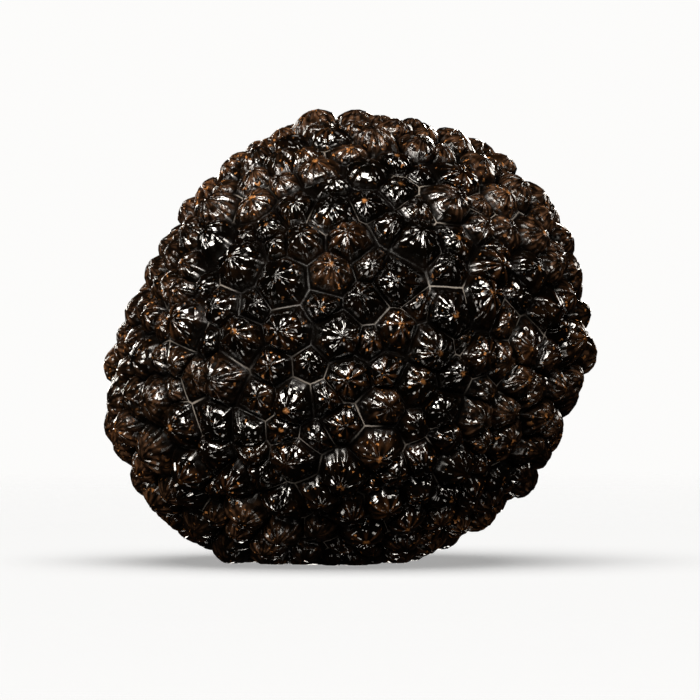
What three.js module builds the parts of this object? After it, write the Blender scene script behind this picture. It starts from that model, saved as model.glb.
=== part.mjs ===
// A black truffle: the ripe fruiting body of a truffle fungus, one solid that grew in one piece.
// The body is a slightly lopsided ball. Its skin is packed with polygonal warts, low faceted domes
// that meet each other in grooves. It rests on a small flat spot where it lay in the soil.
//
// Millimetres, +Z up. The origin lies on the flat spot, straight below the body's middle, and +X
// runs along the truffle's longest side.

import * as THREE from "three";
import { ConvexHull } from "three/addons/math/ConvexHull.js";

// ---- Driving dimensions ----

const GROOVE_RADIUS = 16.4; // from the body's middle to the grooves between warts, on an even ball
const MIDDLE_HEIGHT = 15.75; // from the flat spot up to the body's middle

// Where the ball swells (rise above 0) or sinks (below 0). A bearing of 0 faces +X and 90 faces +Y,
// an elevation of 90 faces up, and a larger tightness makes a narrower swelling.
const SWELLINGS = [
  { bearing: 0, elevation: 30, rise: 0.95, tightness: 4 },
  { bearing: 180, elevation: -20, rise: 1.7, tightness: 4 },
  { bearing: 180, elevation: 24, rise: -2.1, tightness: 6 },
  { bearing: 0, elevation: -60, rise: -1.2, tightness: 4 },
  { bearing: 262, elevation: 18, rise: 0.6, tightness: 7 },
  { bearing: 312, elevation: -12, rise: -0.8, tightness: 8 },
  { bearing: 60, elevation: 35, rise: 0.7, tightness: 6 },
  { bearing: 95, elevation: -8, rise: -1.5, tightness: 7 },
  { bearing: 130, elevation: -42, rise: 0.9, tightness: 6 },
];

const WART_COUNT = 480;
const WART_RISE = 0.33; // a wart's height over its grooves, as a share of its width
const RISE_SPREAD = 0.25; // how much that share differs from wart to wart
const SHOULDER_REACH = 0.62; // how far the shoulder lies from a wart's tip to its corners
const SHOULDER_RISE = 0.73; // the shoulder's height, as a share of the wart's
const ROUNDING = 0.5; // how far the shoulder turns from the shape of the corners (0) to round (1)
const TIP_STRAY = 0.16; // how far a tip may stand off its wart's middle, as a share of its width

const SEED = 15;
const SCATTER = 0.55; // how far a wart starts from its place in the spiral, as a share of their gap
const SIZE_SPREAD = 0.0066; // how far wart sizes differ: the largest weight in the cell diagram
const SETTLING_ROUNDS = 6; // how often the warts shift towards the middle of their own cells
const SHORTEST_SIDE = 0.3; // corners that stand closer together than this are joined

// ---- Small tools ----

// The mulberry32 generator: even draws from 0 to 1, the same on every run.
function seededRandom(seed) {
  let state = seed;
  return () => {
    state = (state + 0x6d2b79f5) | 0;
    let mixed = Math.imul(state ^ (state >>> 15), state | 1);
    mixed ^= mixed + Math.imul(mixed ^ (mixed >>> 7), mixed | 61);
    return ((mixed ^ (mixed >>> 14)) >>> 0) / 2 ** 32;
  };
}

function direction(bearing, elevation) {
  const across = THREE.MathUtils.degToRad(bearing);
  const up = THREE.MathUtils.degToRad(elevation);
  return new THREE.Vector3(
    Math.cos(across) * Math.cos(up),
    Math.sin(across) * Math.cos(up),
    Math.sin(up),
  );
}

// Two unit vectors square to a direction and to each other.
function tangents(normal) {
  const pole = Math.abs(normal.z) < 0.9 ? new THREE.Vector3(0, 0, 1) : new THREE.Vector3(1, 0, 0);
  const east = new THREE.Vector3().crossVectors(pole, normal).normalize();
  return [east, new THREE.Vector3().crossVectors(normal, east)];
}

// ---- The body ----

const swellings = SWELLINGS.map((swelling) => ({
  ...swelling,
  toward: direction(swelling.bearing, swelling.elevation),
}));

// From the body's middle to the floor of the grooves, in a given direction.
function grooveRadius(toward) {
  let radius = GROOVE_RADIUS;
  for (const swelling of swellings)
    radius += swelling.rise * Math.exp(swelling.tightness * (toward.dot(swelling.toward) - 1));
  return radius;
}

// A point of the skin at a height over the grooves. What would reach below the flat spot ends on it.
function skinPoint(toward, height) {
  let radius = grooveRadius(toward) + height;
  if (radius * toward.z < -MIDDLE_HEIGHT) radius = -MIDDLE_HEIGHT / toward.z;
  return toward.clone().multiplyScalar(radius);
}

// ---- The warts' places ----

// Directions spread evenly over the ball along a spiral, then scattered a little.
function scatteredSeeds(random) {
  const gap = Math.sqrt((4 * Math.PI) / WART_COUNT);
  const turn = Math.PI * (3 - Math.sqrt(5));
  const seeds = [];
  for (let i = 0; i < WART_COUNT; i += 1) {
    const height = 1 - (2 * i + 1) / WART_COUNT;
    const ring = Math.sqrt(1 - height * height);
    const seed = new THREE.Vector3(ring * Math.cos(turn * i), ring * Math.sin(turn * i), height);
    const [east, north] = tangents(seed);
    const eastward = SCATTER * gap * (2 * random() - 1);
    const northward = SCATTER * gap * (2 * random() - 1);
    seeds.push(seed.addScaledVector(east, eastward).addScaledVector(north, northward).normalize());
  }
  return seeds;
}

// The weighted cell diagram of the seeds on the unit ball. Seeds lifted by their weights have a convex
// hull whose every face stands for one corner, in the direction of the face's normal. Returns the
// corners and, for each seed, the numbers of its corners in order round it, seen from outside.
function cellDiagram(seeds, weights) {
  const lifted = seeds.map((seed, i) => seed.clone().multiplyScalar(1 + weights[i]));
  const numberOf = new Map(lifted.map((point, i) => [point, i]));
  const corners = [];
  const cells = seeds.map(() => []);
  for (const face of new ConvexHull().setFromPoints(lifted).faces) {
    let edge = face.edge;
    do {
      cells[numberOf.get(edge.head().point)].push(corners.length);
      edge = edge.next;
    } while (edge !== face.edge);
    corners.push(face.normal.clone());
  }
  cells.forEach((cell, i) => {
    const [east, north] = tangents(seeds[i]);
    const bearing = (corner) => Math.atan2(corners[corner].dot(north), corners[corner].dot(east));
    cell.sort((a, b) => bearing(a) - bearing(b));
  });
  return { corners, cells };
}

// The middle of a cell's outline, as a direction, and the outline's length round it.
function outlineOf(cell, corners) {
  const middle = new THREE.Vector3();
  let length = 0;
  cell.forEach((number, k) => {
    const from = corners[number];
    const to = corners[cell[(k + 1) % cell.length]];
    const side = from.distanceTo(to);
    middle.addScaledVector(from, side).addScaledVector(to, side);
    length += side;
  });
  return { middle: middle.normalize(), length };
}

// Joins the corners that stand closer together than the shortest side, so that no wart has a sliver.
function withoutShortSides({ corners, cells }) {
  const joinedTo = corners.map((_, number) => number);
  const joined = (number) => (joinedTo[number] === number ? number : joined(joinedTo[number]));
  for (const cell of cells)
    cell.forEach((number, k) => {
      const following = cell[(k + 1) % cell.length];
      const side = corners[number].distanceTo(corners[following]) * GROOVE_RADIUS;
      if (side < SHORTEST_SIDE) joinedTo[joined(number)] = joined(following);
    });
  const sums = corners.map(() => new THREE.Vector3());
  corners.forEach((corner, number) => sums[joined(number)].add(corner));
  return {
    corners: corners.map((_, number) => sums[joined(number)].clone().normalize()),
    cells: cells.map((cell) =>
      cell.map(joined).filter((number, k, all) => number !== all[(k + 1) % all.length]),
    ),
  };
}

// The warts swell to their sizes while they settle, so that none is buried by its neighbours.
function settledWarts(random) {
  let seeds = scatteredSeeds(random);
  const weights = seeds.map(() => SIZE_SPREAD * random());
  for (let round = 0; round < SETTLING_ROUNDS; round += 1) {
    const swollen = weights.map((weight) => (weight * round) / SETTLING_ROUNDS);
    const { corners, cells } = cellDiagram(seeds, swollen);
    seeds = cells.map((cell) => outlineOf(cell, corners).middle);
  }
  return withoutShortSides(cellDiagram(seeds, weights));
}

// ---- The warts' shapes ----

// The skin as one closed mesh: each wart is a fan from its tip to its shoulder, and a band of facets
// from there down to the grooves, whose corners it shares with its neighbours.
function truffleGeometry() {
  const random = seededRandom(SEED);
  const { corners, cells } = settledWarts(random);
  const points = corners.map((corner) => skinPoint(corner, 0));
  const triangles = [];
  for (const cell of cells) {
    const { middle, length } = outlineOf(cell, corners);
    const width = length / Math.PI;
    const height = width * GROOVE_RADIUS * WART_RISE * (1 + RISE_SPREAD * (2 * random() - 1));
    const [east, north] = tangents(middle);
    const eastward = TIP_STRAY * width * (2 * random() - 1);
    const northward = TIP_STRAY * width * (2 * random() - 1);
    const tip = middle.addScaledVector(east, eastward).addScaledVector(north, northward).normalize();

    const spans = cell.map((number) => tip.distanceTo(corners[number]));
    const meanSpan = spans.reduce((sum, span) => sum + span) / spans.length;

    const tipNumber = points.length;
    points.push(skinPoint(tip, height));
    cell.forEach((number, k) => {
      const reach = SHOULDER_REACH * (meanSpan / spans[k]) ** ROUNDING;
      const shoulder = tip.clone().lerp(corners[number], reach).normalize();
      points.push(skinPoint(shoulder, height * SHOULDER_RISE));
    });
    cell.forEach((number, k) => {
      const following = (k + 1) % cell.length;
      const shoulder = tipNumber + 1 + k;
      const nextShoulder = tipNumber + 1 + following;
      triangles.push(tipNumber, shoulder, nextShoulder);
      triangles.push(shoulder, number, cell[following]);
      triangles.push(shoulder, cell[following], nextShoulder);
    });
  }
  const geometry = new THREE.BufferGeometry().setFromPoints(points);
  geometry.setIndex(triangles);
  geometry.translate(0, 0, MIDDLE_HEIGHT);
  geometry.computeVertexNormals();
  return geometry;
}

// ---- The part ----

const blackSkin = new THREE.MeshStandardMaterial({
  color: 0x1b1511,
  roughness: 0.38,
  metalness: 0,
  flatShading: true,
});

const truffle = new THREE.Mesh(truffleGeometry(), blackSkin);
truffle.name = "truffle";

const part = new THREE.Group();
part.add(truffle);

export default part;
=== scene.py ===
"""The looks of a black truffle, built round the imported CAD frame.

The fine skin keeps the warts of the CAD solid: the same lopsided ball, the same cell diagram and the
same heights, worked out again from the same driving dimensions. Each wart gets ridges that run out
from its tip, with sharp furrows between them, and a narrow groove all round. In patches, a raised
seam stands in the groove. Lengths are in millimetres in the body's own frame, whose origin is the
body's middle, until the mesh is made in metres.
"""

import math

import bmesh
import bpy
import numpy as np
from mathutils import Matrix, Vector


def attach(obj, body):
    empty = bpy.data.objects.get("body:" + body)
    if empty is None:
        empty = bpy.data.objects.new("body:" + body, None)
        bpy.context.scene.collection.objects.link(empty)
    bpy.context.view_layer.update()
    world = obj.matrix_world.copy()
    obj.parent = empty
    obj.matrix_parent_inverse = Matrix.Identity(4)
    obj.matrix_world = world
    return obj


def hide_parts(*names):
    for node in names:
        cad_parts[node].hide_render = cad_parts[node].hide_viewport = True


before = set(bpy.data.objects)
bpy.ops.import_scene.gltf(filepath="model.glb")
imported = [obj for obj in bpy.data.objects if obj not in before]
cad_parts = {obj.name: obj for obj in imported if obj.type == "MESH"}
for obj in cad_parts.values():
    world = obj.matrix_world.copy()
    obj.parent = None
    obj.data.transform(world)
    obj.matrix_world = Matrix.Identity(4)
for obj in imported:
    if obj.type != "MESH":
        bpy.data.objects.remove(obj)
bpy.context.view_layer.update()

MM = 0.001

# ---- The body, as in the CAD ----

GROOVE_RADIUS = 16.4  # from the body's middle to the grooves between warts, on an even ball
MIDDLE_HEIGHT = 15.75  # from the flat spot up to the body's middle

# Bearing, elevation, rise and tightness of each place where the ball swells or sinks.
SWELLINGS = [
    (0, 30, 0.95, 4),
    (180, -20, 1.7, 4),
    (180, 24, -2.1, 6),
    (0, -60, -1.2, 4),
    (262, 18, 0.6, 7),
    (312, -12, -0.8, 8),
    (60, 35, 0.7, 6),
    (95, -8, -1.5, 7),
    (130, -42, 0.9, 6),
]

WART_COUNT = 480
WART_RISE = 0.33  # a wart's height over its grooves, as a share of its width
RISE_SPREAD = 0.25  # how much that share differs from wart to wart
TIP_STRAY = 0.16  # how far a tip may stand off its wart's middle, as a share of its width

SEED = 15
SCATTER = 0.55  # how far a wart starts from its place in the spiral, as a share of their gap
SIZE_SPREAD = 0.0066  # how far wart sizes differ: the largest weight in the cell diagram
SETTLING_ROUNDS = 6  # how often the warts shift towards the middle of their own cells
SHORTEST_SIDE = 0.3  # corners that stand closer together than this are joined

# ---- The fine skin ----

SPOKE_GAP = 0.34  # between the spokes of a wart, along its grooves
RIDGE_PATTERN = (1.0, 0.1, -1.0, 0.1)  # the heights of neighbouring spokes, ridge to ridge
RIDGE_RISE = 0.08  # how far a ridge stands over the even dome of a wart that is 1 mm tall
RIDGE_SPREAD = 0.5  # how far ridges differ from that, as a share of it
KNOB_RISE = 0.015  # how far a ridge rises and falls from ring to ring
RIDGE_SWAY = 0.05  # how far a ridge usually strays sideways on its way out
SPOKE_SWAY = 0.2  # how far a spoke strays of its own, as a share of that
RING_STRAY = 0.012  # how far a ring's points stray in and out, as a share of the way tip to seam

# The rings of a wart: how far out each lies from tip (0) to seam (1), its height as a share of the
# wart's, how much of a ridge's height shows there, and how round it is (0: shaped as the seam).
GROOVE_REACH = 0.93
RINGS = [
    (GROOVE_REACH, 0.06, 0.0, 0.1),
    (0.80, 0.42, 0.5, 0.4),
    (0.62, 0.67, 1.0, 0.7),
    (0.40, 0.83, 1.0, 0.8),
    (0.18, 0.96, 0.5, 0.8),
]
TIP_RISE = 0.99  # the tip's own height, as a share of the wart's

SEAM_RISE = 0.05  # a seam's crest over the CAD's groove, where it stands out
SEAM_SINK = 0.16  # how deep the groove is cut where no seam stands out
GROOVE_SINK = 0.06  # how far the groove beside a seam lies below the CAD's groove
SEAM_PATCH = 5.0  # the width of the patches in which seams stand out
SEAM_RARITY = 0.1  # the larger it is, the rarer such patches are

ROUGH_RISE = 0.02  # uneven rise of the whole skin
ROUGH_WIDTH = 1.1  # how wide those uneven places are
GROOVE_ROUGH = 0.3  # the share of it that reaches into the grooves

PRESSED_GROOVE = 0.3  # how deep the grooves stay between warts pressed flat where it rests
PRESSED_DEPTH = 0.5  # how far the skin is pressed in where they are that deep

# How brown the warts are, from 0 to 1: painted rim sheen, standing in for the warm sheen where the
# skin is seen edge-on. It grows from the front and the back towards the sides.
RIM_SHEEN_START = 0.32  # how far round that begins, where 0 is in front or behind and 1 is at the side
RIM_SHEEN_GROWTH = 1.3
RIM_SHEEN_SPREAD = 0.35  # how far it differs from place to place
RIM_SHEEN_PATCH = 9.0  # how wide those places are
MOST_RIM_SHEEN = 0.9

DISC_RADIUS = 0.23  # of each of the two discs on the bake map, which is 1 wide and 1 high

SEAM_SEED = 11
ROUGH_SEED = 12
RIM_SHEEN_SEED = 21
TONE_SEED = 5

WAVES = 24  # plane waves in a random field
WAVE_SPREAD = (0.7, 1.5)  # the least and the greatest of their lengths, as shares of the field's


def unit(vectors):
    return vectors / np.linalg.norm(vectors, axis=-1, keepdims=True)


def direction(bearing, elevation):
    across = math.radians(bearing)
    up = math.radians(elevation)
    return np.array(
        [math.cos(across) * math.cos(up), math.sin(across) * math.cos(up), math.sin(up)]
    )


def tangents(normal):
    """Two unit vectors square to a direction and to each other."""
    pole = np.array([0.0, 0.0, 1.0]) if abs(normal[2]) < 0.9 else np.array([1.0, 0.0, 0.0])
    east = unit(np.cross(pole, normal))
    return east, np.cross(normal, east)


def seeded_random(seed):
    """The mulberry32 generator: even draws from 0 to 1, the same as in the CAD."""
    mask = 2**32 - 1
    state = seed
    while True:
        state = (state + 0x6D2B79F5) & mask
        mixed = (state ^ (state >> 15)) * (state | 1) & mask
        mixed ^= (mixed + ((mixed ^ (mixed >> 7)) * (mixed | 61))) & mask
        yield (mixed ^ (mixed >> 14)) / 2**32


def groove_radius(toward):
    """From the body's middle to the floor of the grooves, in the given directions."""
    radius = np.full(toward.shape[:-1], GROOVE_RADIUS)
    for bearing, elevation, rise, tightness in SWELLINGS:
        radius += rise * np.exp(tightness * (toward @ direction(bearing, elevation) - 1))
    return radius


def ripples(toward, wavelength, seed):
    """A smooth random field over the ball, with a spread of about 1: plane waves in all directions."""
    draws = np.random.default_rng(seed)
    lengths = wavelength * draws.uniform(*WAVE_SPREAD, WAVES)
    steps = unit(draws.normal(size=(WAVES, 3))) * (2 * math.pi / lengths)[:, None]
    phases = draws.uniform(0, 2 * math.pi, WAVES)
    return np.sin(toward * GROOVE_RADIUS @ steps.T + phases).sum(axis=-1) * math.sqrt(2 / WAVES)


# ---- The warts' places, as in the CAD ----


def scattered_seeds(random):
    """Directions spread evenly over the ball along a spiral, then scattered a little."""
    gap = math.sqrt(4 * math.pi / WART_COUNT)
    turn = math.pi * (3 - math.sqrt(5))
    seeds = []
    for i in range(WART_COUNT):
        height = 1 - (2 * i + 1) / WART_COUNT
        ring = math.sqrt(1 - height * height)
        seed = np.array([ring * math.cos(turn * i), ring * math.sin(turn * i), height])
        east, north = tangents(seed)
        eastward = SCATTER * gap * (2 * next(random) - 1)
        northward = SCATTER * gap * (2 * next(random) - 1)
        seeds.append(unit(seed + east * eastward + north * northward))
    return np.array(seeds)


def face_normals(points, faces):
    a, b, c = (points[faces[:, k]] for k in range(3))
    return unit(np.cross(b - a, c - a))


def hull_faces(points):
    """The triangles of the points' convex hull, grown point by point from a first tetrahedron."""
    count = len(points)
    first = [0, count // 2, count // 2 + 1, count - 1]
    faces = np.array([[a for a in first if a != left_out] for left_out in first])
    outward = points[faces[:, 0]] - points[first].mean(axis=0)
    inside_out = (face_normals(points, faces) * outward).sum(axis=1) < 0
    faces[inside_out] = faces[inside_out][:, ::-1]
    normals = face_normals(points, faces)
    for number in range(count):
        if number in first:
            continue
        offsets = (normals * points[faces[:, 0]]).sum(axis=1)
        seen = normals @ points[number] > offsets
        edges = {(a, b) for face in faces[seen].tolist() for a, b in zip(face, face[1:] + face[:1])}
        added = np.array([(a, b, number) for a, b in sorted(edges) if (b, a) not in edges])
        faces = np.concatenate([faces[~seen], added])
        normals = np.concatenate([normals[~seen], face_normals(points, added)])
    return faces, normals


def cell_diagram(seeds, weights):
    """The weighted cell diagram of the seeds: its corners, and each cell's corners in order."""
    faces, corners = hull_faces(seeds * (1 + weights)[:, None])
    cells = [[] for _ in seeds]
    for number, face in enumerate(faces):
        for seed_number in face:
            cells[seed_number].append(number)
    for seed, cell in zip(seeds, cells):
        east, north = tangents(seed)
        cell.sort(key=lambda number: math.atan2(corners[number] @ north, corners[number] @ east))
    return corners, cells


def outline_of(cell, corners):
    """The middle of a cell's outline, as a direction, and the outline's length round it."""
    ends = corners[cell]
    following = np.roll(ends, -1, axis=0)
    sides = np.linalg.norm(following - ends, axis=1)
    return unit(((ends + following) * sides[:, None]).sum(axis=0)), sides.sum()


def without_short_sides(corners, cells):
    """Joins the corners that stand closer together than the shortest side."""
    joined_to = list(range(len(corners)))

    def joined(number):
        while joined_to[number] != number:
            number = joined_to[number]
        return number

    for cell in cells:
        for number, following in zip(cell, cell[1:] + cell[:1]):
            side = np.linalg.norm(corners[number] - corners[following]) * GROOVE_RADIUS
            if side < SHORTEST_SIDE:
                joined_to[joined(number)] = joined(following)
    sums = np.zeros_like(corners)
    for number, corner in enumerate(corners):
        sums[joined(number)] += corner
    corners = unit(np.array([sums[joined(number)] for number in range(len(corners))]))
    shorter_cells = []
    for cell in cells:
        numbers = [joined(number) for number in cell]
        followings = numbers[1:] + numbers[:1]
        shorter_cells.append([n for n, following in zip(numbers, followings) if n != following])
    return corners, shorter_cells


def settled_warts(random):
    """The warts swell to their sizes while they settle, so that none is buried by its neighbours."""
    seeds = scattered_seeds(random)
    weights = np.array([SIZE_SPREAD * next(random) for _ in seeds])
    for settled in range(SETTLING_ROUNDS):
        corners, cells = cell_diagram(seeds, weights * settled / SETTLING_ROUNDS)
        seeds = np.array([outline_of(cell, corners)[0] for cell in cells])
    return without_short_sides(*cell_diagram(seeds, weights))


# ---- The fine skin's mesh ----


class Skin:
    """Gathers the skin's points, and what the material needs to know at each of them."""

    def __init__(self):
        self.points = []  # directions
        self.heights = []  # over the groove radius, in mm
        self.rises = []  # from 0 in the groove to 1 at a wart's top
        self.crests = []  # from about -1 in a furrow to about 1 on a ridge
        self.reaches = []  # from 0 at a wart's tip to 1 at its seam
        self.tips = []  # the warts' tips, as directions
        self.faces = []
        self.creases = set()  # pairs of points that a sharp edge joins
        self.face_warts = []
        self.face_places = []  # the corners' places in their wart, in mm from its tip

    def add(self, toward, height=0.0, rise=0.0, crest=0.0, reach=1.0):
        """Adds a point, on a seam unless it is told otherwise, and returns its number."""
        self.points.append(toward)
        self.heights.append(height)
        self.rises.append(rise)
        self.crests.append(crest)
        self.reaches.append(reach)
        return len(self.points) - 1


def side_points(skin, sides, start, end, corner_points, corners):
    """The skin's points along one side of a wart, without its end, in order from its start."""
    key = (min(start, end), max(start, end))
    if key not in sides:
        low, high = corners[key[0]], corners[key[1]]
        length = np.linalg.norm(high - low) * GROOVE_RADIUS
        ridges = max(1, round(length / (len(RIDGE_PATTERN) * SPOKE_GAP)))
        steps = ridges * len(RIDGE_PATTERN)
        sides[key] = [skin.add(unit(low + (high - low) * step / steps)) for step in range(1, steps)]
    between = sides[key] if start == key[0] else sides[key][::-1]
    return [corner_points[start]] + between


def add_wart(skin, wart, rim, tip, height, draws):
    """One wart: rings of points from its seam in to its tip, and the faces between them."""
    rim_toward = np.array([skin.points[number] for number in rim])
    count = len(rim)
    ridges = count // len(RIDGE_PATTERN)
    half = len(RIDGE_PATTERN) // 2

    def on_ridges(values):
        """One value for each ridge, dealt out to the spokes of that ridge."""
        return np.roll(np.repeat(values, len(RIDGE_PATTERN)), half)

    ridge_heights = on_ridges(draws.uniform(1 - RIDGE_SPREAD, 1 + RIDGE_SPREAD, ridges))
    crests = np.resize(RIDGE_PATTERN, count) * ridge_heights
    ridge_sways = on_ridges(draws.normal(size=ridges))
    spans = np.linalg.norm(rim_toward - tip, axis=1)
    sideways = unit(np.roll(rim_toward, -1, axis=0) - np.roll(rim_toward, 1, axis=0))
    rings = [rim]
    for reach, rise, shown, roundness in RINGS:
        halfway = 4 * reach * (1 - reach)  # 1 halfway out, 0 at the tip and at the seam
        sways = (ridge_sways + SPOKE_SWAY * draws.normal(size=count)) * RIDGE_SWAY * halfway
        strays = RING_STRAY * draws.normal(size=count)
        reaches = (reach + strays) * (spans.mean() / spans) ** roundness
        toward = tip + (rim_toward - tip) * reaches[:, None]
        toward = unit(toward + sideways * (sways / GROOVE_RADIUS)[:, None])
        knobs = on_ridges(draws.normal(size=ridges)) * KNOB_RISE
        ridge_rises = crests * RIDGE_RISE * (1 + height) / 2 + knobs
        over = rise * height + shown * ridge_rises
        if reach == GROOVE_REACH:
            over = over - GROOVE_SINK
        rings.append(
            [skin.add(toward[k], over[k], rise, crests[k] * shown, reach) for k in range(count)]
        )
    top = skin.add(tip, height * TIP_RISE, TIP_RISE, 0.0, 0.0)
    skin.tips.append(tip)

    east, north = tangents(tip)

    def place(number):
        toward = skin.points[number]
        return (toward @ east * GROOVE_RADIUS, toward @ north * GROOVE_RADIUS, 0.0)

    def add_face(*numbers):
        skin.faces.append(numbers)
        skin.face_warts.append(wart)
        skin.face_places.extend(place(number) for number in numbers)

    furrows = range(half, count, len(RIDGE_PATTERN))
    for outer, inner in zip(rings[:-1], rings[1:]):
        skin.creases.update((outer[k], inner[k]) for k in furrows)
        for k in range(count):
            following = (k + 1) % count
            add_face(outer[k], outer[following], inner[following], inner[k])
    for k in range(count):
        add_face(rings[-1][k], rings[-1][(k + 1) % count], top)


def seams_shown(toward):
    """How far the seams stand out at the given places, from 0 to 1: they do so only in patches."""
    return np.clip(ripples(toward, SEAM_PATCH, SEAM_SEED) - SEAM_RARITY, 0.0, 1.0)


def placed_points(skin):
    """The skin's points in the body's frame: lifted, roughened, and pressed flat below."""
    toward = np.array(skin.points)
    rises = np.array(skin.rises)
    at_seam = np.array(skin.reaches) == 1.0
    shown = seams_shown(toward)
    heights = np.where(at_seam, SEAM_RISE * shown - SEAM_SINK * (1 - shown), skin.heights)
    rough = ROUGH_RISE * (GROOVE_ROUGH + (1 - GROOVE_ROUGH) * rises)
    heights += rough * ripples(toward, ROUGH_WIDTH, ROUGH_SEED)
    points = toward * (groove_radius(toward) + heights)[:, None]

    below = -MIDDLE_HEIGHT - points[:, 2]
    pressed = below > 0
    points[pressed] = toward[pressed] * (-MIDDLE_HEIGHT / toward[pressed, 2])[:, None]
    hollows = PRESSED_GROOVE * (1 - rises) ** 2 * np.clip(below / PRESSED_DEPTH, 0, 1)
    points[pressed, 2] += hollows[pressed]
    return points


def build_skin():
    random = seeded_random(SEED)
    corners, cells = settled_warts(random)
    draws = np.random.default_rng(SEED)
    skin = Skin()
    used = sorted({number for cell in cells for number in cell})
    corner_points = {number: skin.add(corners[number]) for number in used}
    sides = {}
    for wart, cell in enumerate(cells):
        middle, length = outline_of(cell, corners)
        width = length / math.pi
        height = width * GROOVE_RADIUS * WART_RISE * (1 + RISE_SPREAD * (2 * next(random) - 1))
        east, north = tangents(middle)
        eastward = TIP_STRAY * width * (2 * next(random) - 1)
        northward = TIP_STRAY * width * (2 * next(random) - 1)
        tip = unit(middle + east * eastward + north * northward)
        rim = []
        for start, end in zip(cell, cell[1:] + cell[:1]):
            rim += side_points(skin, sides, start, end, corner_points, corners)
        add_wart(skin, wart, rim, tip, height, draws)
    return skin


def add_bake_map(mesh, points):
    """A map of two discs, the front half of the skin and the back half, each seen from its pole."""
    layer = mesh.uv_layers.new(name="OFBake")
    toward = unit(points)
    loops = np.array([loop.vertex_index for loop in mesh.loops])
    places = np.zeros((len(loops), 2))
    for polygon in mesh.polygons:
        span = slice(polygon.loop_start, polygon.loop_start + polygon.loop_total)
        away = toward[loops[span]]
        front = away[:, 1].mean() < 0
        side = -1.0 if front else 1.0
        stretch = DISC_RADIUS / np.sqrt(1 + side * away[:, 1])
        places[span, 0] = (0.25 if front else 0.75) - side * away[:, 0] * stretch
        places[span, 1] = 0.5 + away[:, 2] * stretch
    layer.data.foreach_set("uv", places.ravel())


def rim_sheen_shares(tips):
    """How brown each wart is, from 0 to 1, as painted rim sheen: the most round the sides, the least
    in front and behind.
    """
    sideways = 1 - np.abs(tips[:, 1])
    uneven = RIM_SHEEN_SPREAD * ripples(tips, RIM_SHEEN_PATCH, RIM_SHEEN_SEED)
    return np.clip(RIM_SHEEN_GROWTH * (sideways - RIM_SHEEN_START) + uneven, 0.0, MOST_RIM_SHEEN)


def add_attribute(mesh, name, kind, domain, values):
    """Writes one value for each of the mesh's points, edges, faces or corners."""
    field = "vector" if kind == "FLOAT_VECTOR" else "value"
    mesh.attributes.new(name, kind, domain).data.foreach_set(field, np.ravel(values))


def make_truffle():
    skin = build_skin()
    points = placed_points(skin)
    in_metres = (points + np.array([0, 0, MIDDLE_HEIGHT])) * MM
    mesh = bpy.data.meshes.new("black_truffle")
    mesh.from_pydata(in_metres.tolist(), [], skin.faces)
    mesh.polygons.foreach_set("use_smooth", [True] * len(mesh.polygons))
    ends = [tuple(edge.vertices) for edge in mesh.edges]
    sharp = [(a, b) in skin.creases or (b, a) in skin.creases for a, b in ends]
    add_attribute(mesh, "sharp_edge", "BOOLEAN", "EDGE", sharp)
    add_attribute(mesh, "rise", "FLOAT", "POINT", skin.rises)
    add_attribute(mesh, "crest", "FLOAT", "POINT", skin.crests)
    add_attribute(mesh, "reach", "FLOAT", "POINT", skin.reaches)
    add_attribute(mesh, "seam_shown", "FLOAT", "POINT", seams_shown(np.array(skin.points)))
    tones = np.random.default_rng(TONE_SEED).uniform(size=WART_COUNT)
    add_attribute(mesh, "wart_tone", "FLOAT", "FACE", tones[skin.face_warts])
    # Painted rim sheen: each wart's share of the brown that grows towards the sides.
    rim_sheen_browns = rim_sheen_shares(np.array(skin.tips))
    add_attribute(mesh, "brown", "FLOAT", "FACE", rim_sheen_browns[skin.face_warts])
    add_attribute(mesh, "wart_place", "FLOAT_VECTOR", "CORNER", skin.face_places)
    add_bake_map(mesh, points)
    mesh.validate()
    truffle = bpy.data.objects.new("black_truffle", mesh)
    bpy.context.scene.collection.objects.link(truffle)
    return truffle


# ---- Materials ----


class Nodes:
    """A short way to add and join the shader nodes of a material or a world."""

    def __init__(self, owner):
        owner.use_nodes = True
        self.tree = owner.node_tree
        self.tree.nodes.clear()

    def add(self, kind, settings=None, **inputs):
        node = self.tree.nodes.new(kind)
        for name, value in (settings or {}).items():
            setattr(node, name, value)
        for name, value in inputs.items():
            self.join(value, node.inputs[name.replace("_", " ")])
        return node

    def join(self, value, socket):
        if isinstance(value, bpy.types.NodeSocket):
            self.tree.links.new(value, socket)
        else:
            socket.default_value = value

    def math(self, operation, *values):
        node = self.add("ShaderNodeMath", {"operation": operation})
        for value, socket in zip(values, node.inputs):
            self.join(value, socket)
        return node.outputs[0]

    def product(self, value, *factors):
        for factor in factors:
            value = self.math("MULTIPLY", value, factor)
        return value

    def attribute(self, name, output="Fac"):
        return self.add("ShaderNodeAttribute", {"attribute_name": name}).outputs[output]

    def span(self, value, low, high, low_result=0.0, high_result=1.0):
        """Runs from one result to the other as the value goes from low to high, and stops there."""
        node = self.add("ShaderNodeMapRange", {"clamp": True})
        for socket, number in zip(node.inputs, (value, low, high, low_result, high_result)):
            self.join(number, socket)
        return node.outputs[0]

    def mix(self, share, first, second):
        node = self.add("ShaderNodeMix", {"data_type": "RGBA"})
        self.join(share, node.inputs[0])
        self.join(first, node.inputs[6])
        self.join(second, node.inputs[7])
        return node.outputs[2]

    def noise(self, place, scale, octaves, roughness):
        node = self.add(
            "ShaderNodeTexNoise", Vector=place, Scale=scale, Detail=octaves, Roughness=roughness
        )
        return node.outputs[0]

    def finish(self, shader, output="ShaderNodeOutputMaterial"):
        self.join(shader.outputs[0], self.add(output).inputs[0])


BLACK_BROWN = (0.0006, 0.0004, 0.0002, 1)
DARK_BROWN = (0.0025, 0.0012, 0.0005, 1)
WARM_BROWN = (0.030, 0.0125, 0.0045, 1)
# Rust on the ridges: partly the skin's own, partly a painted warm tint on the ridge highlights.
RUST_AND_WARM_GLINT = (0.12, 0.048, 0.017, 1)
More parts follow.
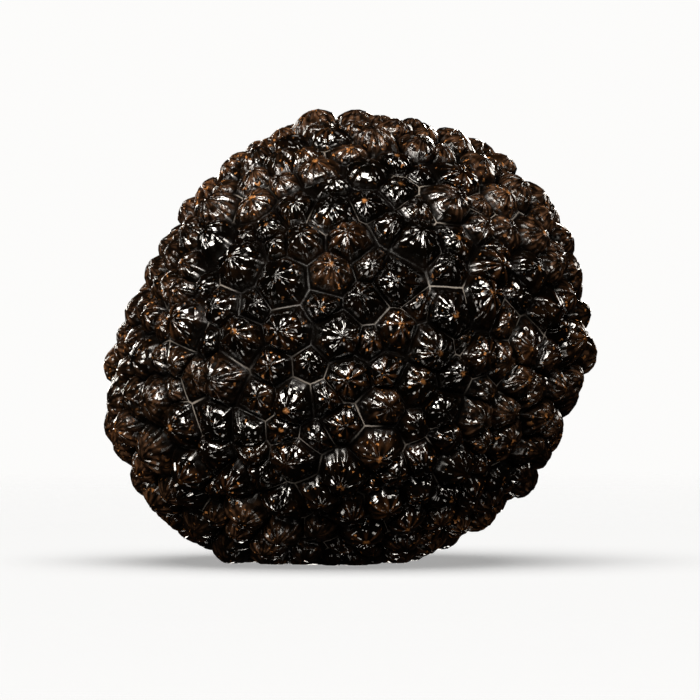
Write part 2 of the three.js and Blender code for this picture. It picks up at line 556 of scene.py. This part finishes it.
# The flanks' brown, shown by the painted rim sheen: partly the skin's own brown, partly painted warm
# sheen round the sides.
RIM_SHEEN_FLANK_BROWN = (0.11, 0.055, 0.029, 1)
# Orange of specks and tips: partly rusty spots, partly painted warm glints.
ORANGE_SPOT_AND_GLINT = (0.30, 0.125, 0.038, 1)
SEAM_GREY = (0.15, 0.132, 0.115, 1)
# Painted shade: the black painted into the grooves between warts.
PAINTED_GROOVE_SHADE = (0.0015, 0.0011, 0.0009, 1)

WARM_SHARE = 0.3  # how much of the warm brown shows where it shows most
GROOVE_SHADE_SHARE = 0.75  # how much of the painted shade shows in the grooves
SPECK_EDGE = 0.05  # how softly the orange specks end

# The noises that the skin is mottled with, from wide to fine: scale, octaves and their roughness.
PATCHES = (190, 2.0, 0.5)
BENDS = (500, 0.0, 0.5)
BLOTCHES = (620, 3.0, 0.6)
PEBBLES = (2000, 0.0, 0.5)
GRAIN = (2600, 3.0, 0.6)
SPECKS = (2800, 1.0, 0.5)

# The marks of the skin. Each follows one of the skin's fields, and fades in as that goes from the
# first number to the second. Where two more are given, it runs from the third to the fourth instead
# of from 0 to 1. Of the fields, reach goes from 0 at a wart's tip to 1 at its seam, rise from 0 in
# the groove to 1 at the top, and crest from -1 in a furrow to 1 on a ridge. Tone is the wart's own,
# brown is its share of the painted rim sheen, stripes run out from its tip, and the others are noises.
MARKS = {
    "seam": ("reach", 0.965, 0.985),
    # Painted shade in the grooves.
    "groove": ("rise", 0.3, 0.0),
    "brown ridge": ("crest", -0.4, 1.0),
    "brown blotch": ("blotches", 0.35, 0.65),
    "warm blotch": ("blotches", 0.5, 0.7),
    "warm patch": ("patches", 0.4, 0.66),
    # Rust on ridges near the tops: partly real, partly painted warm glints; more of it where the
    # painted rim sheen is.
    "rusty ridge": ("crest", 0.0, 1.0),
    "rusty patch": ("patches", 0.52, 0.66),
    "rusty top": ("reach", 0.8, 0.4),
    "rustier brown": ("brown", 0.0, MOST_RIM_SHEEN, 0.35, 0.65),
    # Orange specks and tips: partly rusty spots, partly painted warm glints; more specks where the
    # painted rim sheen is.
    "speck rarity": ("brown", 0.0, MOST_RIM_SHEEN, 0.70, 0.65),
    "speckled patch": ("patches", 0.42, 0.62, 0.1, 1.0),
    "speckled top": ("rise", 0.1, 0.4),
    "orange tip": ("reach", 0.16, 0.04),
    "orange wart": ("tone", 0.72, 0.9),
    "orange grain": ("grain", 0.42, 0.6),
    # Painted rim sheen: where the brown shows on a wart's flanks.
    "flank below tip": ("reach", 0.1, 0.4, 0.3, 1.0),
    "flank above foot": ("reach", 0.92, 0.66),
    "flank stripe": ("stripes", -0.7, 0.8, 0.2, 1.0),
    "flank blotch": ("blotches", 0.35, 0.65, 0.35, 1.0),
    "flank pebble": ("pebbles", 0.40, 0.62, 0.1, 1.0),
    "streak above foot": ("reach", 0.95, 0.75),
    "streak below tip": ("reach", 0.05, 0.3),
    "streak depth": ("brown", 0.0, MOST_RIM_SHEEN, 0.15, 0.6),
    "pebble depth": ("brown", 0.0, MOST_RIM_SHEEN, 0.4, 2.6),
    "ringed foot": ("reach", 0.55, 0.8),
    "rough grain": ("grain", 0.3, 0.7, 0.05, 0.12),
    "rough groove": ("rise", 0.5, 0.05, 0.0, 0.2),
    "shiny top": ("rise", 0.05, 0.6, 0.1, 1.0),
    "shiny below tip": ("reach", 0.08, 0.32, 0.3, 1.0),
    "shine on brown": ("brown", 0.0, MOST_RIM_SHEEN, 1.0, 0.42),
}

# The relief that is too fine for the mesh. A bend is how far noise shifts a pattern, in radians.
STREAKS = 9  # fine streaks round a wart, from its tip out
STREAK_BEND = 5.0
STRIPES = 2.0  # pale stripes to a streak, on a brown wart's flanks
FOOT_RINGS = 48.0  # fine rings round a wart's foot, in radians from its tip to its seam
FOOT_RING_BEND = 5.0
FOOT_RING_SHARE = 0.1  # the rings' height against the streaks'
GRAIN_SHARE = 0.12  # the grain's height against the pebbles'
BUMP_DEPTH = 0.00006  # what a height of 1 comes to, in metres

SEAM_ROUGHNESS = 0.2  # what a seam adds to the roughness of the skin
BROWN_ROUGHNESS = 0.08  # what being brown adds
SPECULAR_LEVEL = 0.6  # where the skin shines most
COAT_WEIGHT = 0.2
COAT_ROUGHNESS = 0.08

WARM_WHITE = (1.0, 0.995, 0.985, 1)
FLOOR_COLOUR = (0.8, 0.797, 0.79, 1)
FLOOR_ROUGHNESS = 0.9
FLOOR_GLOW = 0.37  # the strength of the floor's own weak light
FLOOR_FADE = (0.06, 0.2)  # from here to there, in metres from its middle, it turns clear


class SkinLooks:
    """Works out the skin's colour, relief and gloss from its fields, as sockets of shader nodes."""

    def __init__(self, n):
        self.n = n
        place = n.add("ShaderNodeTexCoord").outputs["Object"]
        local = n.add("ShaderNodeSeparateXYZ", Vector=n.attribute("wart_place", "Vector"))
        angle = n.math("ARCTAN2", local.outputs[1], local.outputs[0])
        bends = n.noise(place, *BENDS)
        turns = n.math("MULTIPLY_ADD", bends, STREAK_BEND, n.product(angle, STREAKS))
        self.fields = {
            "rise": n.attribute("rise"),
            "crest": n.attribute("crest"),
            "reach": n.attribute("reach"),
            "tone": n.attribute("wart_tone"),
            "brown": n.attribute("brown"),
            "patches": n.noise(place, *PATCHES),
            "blotches": n.noise(place, *BLOTCHES),
            "pebbles": n.noise(place, *PEBBLES),
            "grain": n.noise(place, *GRAIN),
            "specks": n.noise(place, *SPECKS),
            "streaks": n.math("SINE", turns),
            "stripes": n.math("SINE", n.product(turns, STRIPES)),
        }
        self.seam = n.product(self.marks("seam"), n.attribute("seam_shown"))

    def marks(self, *names):
        """Where all the named marks show: their product."""
        faded = []
        for name in names:
            field, *numbers = MARKS[name]
            faded.append(self.n.span(self.fields[field], *numbers))
        return self.n.product(*faded)

    def colour(self):
        """Black-brown, with rust and orange on ridges and tips that are partly painted warm glints,
        painted shade in the grooves, brown flanks round the sides as painted rim sheen, and grey
        seams.
        """
        n = self.n
        colour = n.mix(self.marks("brown ridge", "brown blotch"), BLACK_BROWN, DARK_BROWN)
        warm = n.product(self.marks("warm blotch", "warm patch"), WARM_SHARE)
        colour = n.mix(warm, colour, WARM_BROWN)
        # Rust on ridges near the tops: partly real, partly painted warm glints.
        rust = self.marks("rusty ridge", "rusty patch", "rusty top", "rustier brown")
        colour = n.mix(rust, colour, RUST_AND_WARM_GLINT)

        # Orange specks and tips: partly rusty spots, partly painted warm glints.
        rarity = self.marks("speck rarity")
        specks = n.span(self.fields["specks"], rarity, n.math("ADD", rarity, SPECK_EDGE))
        specks = n.product(specks, self.marks("speckled patch", "speckled top"))
        tips = self.marks("orange tip", "orange wart", "orange grain")
        colour = n.mix(n.math("MAXIMUM", specks, tips), colour, ORANGE_SPOT_AND_GLINT)

        colour = n.mix(self.seam, colour, SEAM_GREY)
        # Painted shade: the grooves darkened where no seam stands.
        off_seam = n.math("SUBTRACT", 1.0, self.seam)
        groove = n.product(self.marks("groove"), off_seam, GROOVE_SHADE_SHARE)
        colour = n.mix(groove, colour, PAINTED_GROOVE_SHADE)

        # Painted rim sheen: brown flanks, mostly on the warts round the sides.
        flank = self.marks("flank below tip", "flank above foot", "flank stripe")
        mottled = self.marks("flank blotch", "flank pebble")
        return n.mix(n.product(flank, mottled, self.fields["brown"]), colour, RIM_SHEEN_FLANK_BROWN)

    def relief(self):
        """Streaks out from a wart's tip, rings round its foot, and pebbles and grain all over."""
        n = self.n
        streaks = n.product(
            self.fields["streaks"],
            self.marks("streak above foot", "streak below tip", "streak depth"),
        )
        turns = n.product(self.fields["reach"], FOOT_RINGS)
        turns = n.math("MULTIPLY_ADD", self.fields["blotches"], FOOT_RING_BEND, turns)
        rings = n.product(n.math("SINE", turns), self.marks("ringed foot"), FOOT_RING_SHARE)
        grain = n.product(self.fields["grain"], GRAIN_SHARE)
        height = n.product(self.fields["pebbles"], self.marks("pebble depth"))
        for layer in (grain, streaks, rings):
            height = n.math("ADD", height, layer)
        return n.add("ShaderNodeBump", Strength=1.0, Distance=BUMP_DEPTH, Height=height).outputs[0]

    def roughness(self):
        n = self.n
        roughness = n.math("ADD", self.marks("rough grain"), self.marks("rough groove"))
        roughness = n.math("MULTIPLY_ADD", self.seam, SEAM_ROUGHNESS, roughness)
        return n.math("MULTIPLY_ADD", self.fields["brown"], BROWN_ROUGHNESS, roughness)

    def shine(self):
        """How strongly the skin shines, from 0 to 1: less in grooves, at tips and on brown warts."""
        raised = self.n.math("MAXIMUM", self.marks("shiny top"), self.seam)
        return self.n.product(raised, self.marks("shiny below tip", "shine on brown"))


def truffle_material():
    material = bpy.data.materials.new("truffle_skin")
    n = Nodes(material)
    looks = SkinLooks(n)
    shine = looks.shine()
    shader = n.add(
        "ShaderNodeBsdfPrincipled",
        Base_Color=looks.colour(),
        Roughness=looks.roughness(),
        Normal=looks.relief(),
        Specular_IOR_Level=n.product(shine, SPECULAR_LEVEL),
        Coat_Weight=n.product(shine, COAT_WEIGHT),
        Coat_Roughness=COAT_ROUGHNESS,
    )
    n.finish(shader)
    return material


def floor_material():
    """A pale floor that fades into the backdrop away from the truffle."""
    material = bpy.data.materials.new("pale_floor")
    n = Nodes(material)
    place = n.add("ShaderNodeTexCoord").outputs["Object"]
    away = n.add("ShaderNodeVectorMath", {"operation": "LENGTH"}, Vector=place).outputs["Value"]
    pale = n.add(
        "ShaderNodeBsdfPrincipled",
        Base_Color=FLOOR_COLOUR,
        Roughness=FLOOR_ROUGHNESS,
        Specular_IOR_Level=0.0,
        Emission_Color=WARM_WHITE,
        Emission_Strength=FLOOR_GLOW,
    )
    clear = n.add("ShaderNodeBsdfTransparent")
    fade = n.add("ShaderNodeMixShader")
    n.join(n.span(away, *FLOOR_FADE), fade.inputs[0])
    n.join(pale.outputs[0], fade.inputs[1])
    n.join(clear.outputs[0], fade.inputs[2])
    n.finish(fade)
    return material


# ---- The studio, in metres ----

FLOOR_RADIUS = 0.25
FLOOR_SIDES = 96

BACKDROP = 0.975  # how bright the camera sees the white surrounding
SURROUND = 0.005  # how bright it is as a light

LIGHT_DISTANCE = 0.4
LIGHT_COLOUR = (1.0, 0.94, 0.86)

# Bearing, elevation, size (metres) and power (watts) of each softbox that lights the truffle.
LIGHTS = {
    "key": (247, 30, 0.085, 1.95),
    "key_left": (222, 38, 0.07, 0.52),
    "key_right": (294, 36, 0.075, 0.9),
    "front": (265, 20, 0.06, 0.66),
    "left": (208, 10, 0.07, 0.48),
    "right": (326, 16, 0.07, 0.22),
    "over": (270, 52, 0.07, 0.04),
    "low_left": (244, -34, 0.07, 0.14),
    "low_right": (294, -38, 0.07, 0.10),
    "back_right": (48, 20, 0.085, 0.24),
    "back_left": (132, 20, 0.085, 0.24),
    "back_key": (75, 15, 0.10, 0.80),
    "back": (108, 8, 0.085, 0.40),
    "low_back": (90, -25, 0.07, 0.12),
    "top": (90, 78, 0.07, 0.05),
}
FLOOR_LIGHT = {"bearing": 270, "elevation": 86, "distance": 0.8, "size": 0.9, "power": 6.6}

MIDDLE = Vector((0, 0, MIDDLE_HEIGHT * MM))

CAMERA_BEARING = 270
CAMERA_ELEVATION = 1.0
CAMERA_DISTANCE = 0.57
FRAME_WIDTH = 0.052  # the width of the picture, where the truffle stands
SENSOR = 36.0  # the width of the camera's sensor, in millimetres
NEAR_LIMIT = 0.01  # nothing nearer to the camera than this would show


def make_floor():
    """A disc that lights nothing, mirrors in nothing and shades nothing, so the low lights pass."""
    mesh = bpy.data.meshes.new("floor")
    disc = bmesh.new()
    bmesh.ops.create_circle(disc, cap_ends=True, segments=FLOOR_SIDES, radius=FLOOR_RADIUS)
    disc.to_mesh(mesh)
    disc.free()
    floor = bpy.data.objects.new("floor", mesh)
    bpy.context.scene.collection.objects.link(floor)
    mesh.materials.append(floor_material())
    floor.visible_glossy = False
    floor.visible_shadow = False
    floor.visible_diffuse = False
    return floor


def make_world():
    """A white backdrop to the camera, which lights the scene as a dimmer, soft surrounding."""
    world = bpy.data.worlds.new("studio")
    bpy.context.scene.world = world
    n = Nodes(world)
    seen = n.add("ShaderNodeLightPath").outputs["Is Camera Ray"]
    strength = n.math("MULTIPLY_ADD", seen, BACKDROP - SURROUND, SURROUND)
    background = n.add("ShaderNodeBackground", Color=WARM_WHITE, Strength=strength)
    n.finish(background, "ShaderNodeOutputWorld")


def aim(thing, target):
    thing.rotation_euler = (target - thing.location).to_track_quat("-Z", "Y").to_euler()


def make_softbox(name, bearing, elevation, distance, size, power, lit):
    """A square softbox that faces the truffle and lights one object alone."""
    light = bpy.data.lights.new(name, "AREA")
    light.size = size
    light.energy = power
    softbox = bpy.data.objects.new(name, light)
    bpy.context.scene.collection.objects.link(softbox)
    softbox.location = MIDDLE + Vector(direction(bearing, elevation)) * distance
    aim(softbox, MIDDLE)
    receivers = bpy.data.collections.new(name + "_lights")
    receivers.objects.link(lit)
    softbox.light_linking.receiver_collection = receivers
    return light


def make_lights(truffle, floor):
    for name, (bearing, elevation, size, power) in LIGHTS.items():
        light = make_softbox(name, bearing, elevation, LIGHT_DISTANCE, size, power, truffle)
        light.color = LIGHT_COLOUR
    make_softbox("overhead", lit=floor, **FLOOR_LIGHT)


def make_camera():
    camera = bpy.data.objects.new("camera", bpy.data.cameras.new("camera"))
    bpy.context.scene.collection.objects.link(camera)
    away = Vector(direction(CAMERA_BEARING, CAMERA_ELEVATION))
    camera.location = MIDDLE + away * CAMERA_DISTANCE
    aim(camera, MIDDLE)
    camera.data.sensor_width = SENSOR
    camera.data.lens = SENSOR * CAMERA_DISTANCE / FRAME_WIDTH
    camera.data.clip_start = NEAR_LIMIT
    bpy.context.scene.camera = camera


# ---- Putting it together ----

bpy.context.scene.view_settings.view_transform = "Standard"
truffle = make_truffle()
truffle.data.materials.append(truffle_material())
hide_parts("truffle")
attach(truffle, "root")
floor = make_floor()
make_world()
make_lights(truffle, floor)
make_camera()
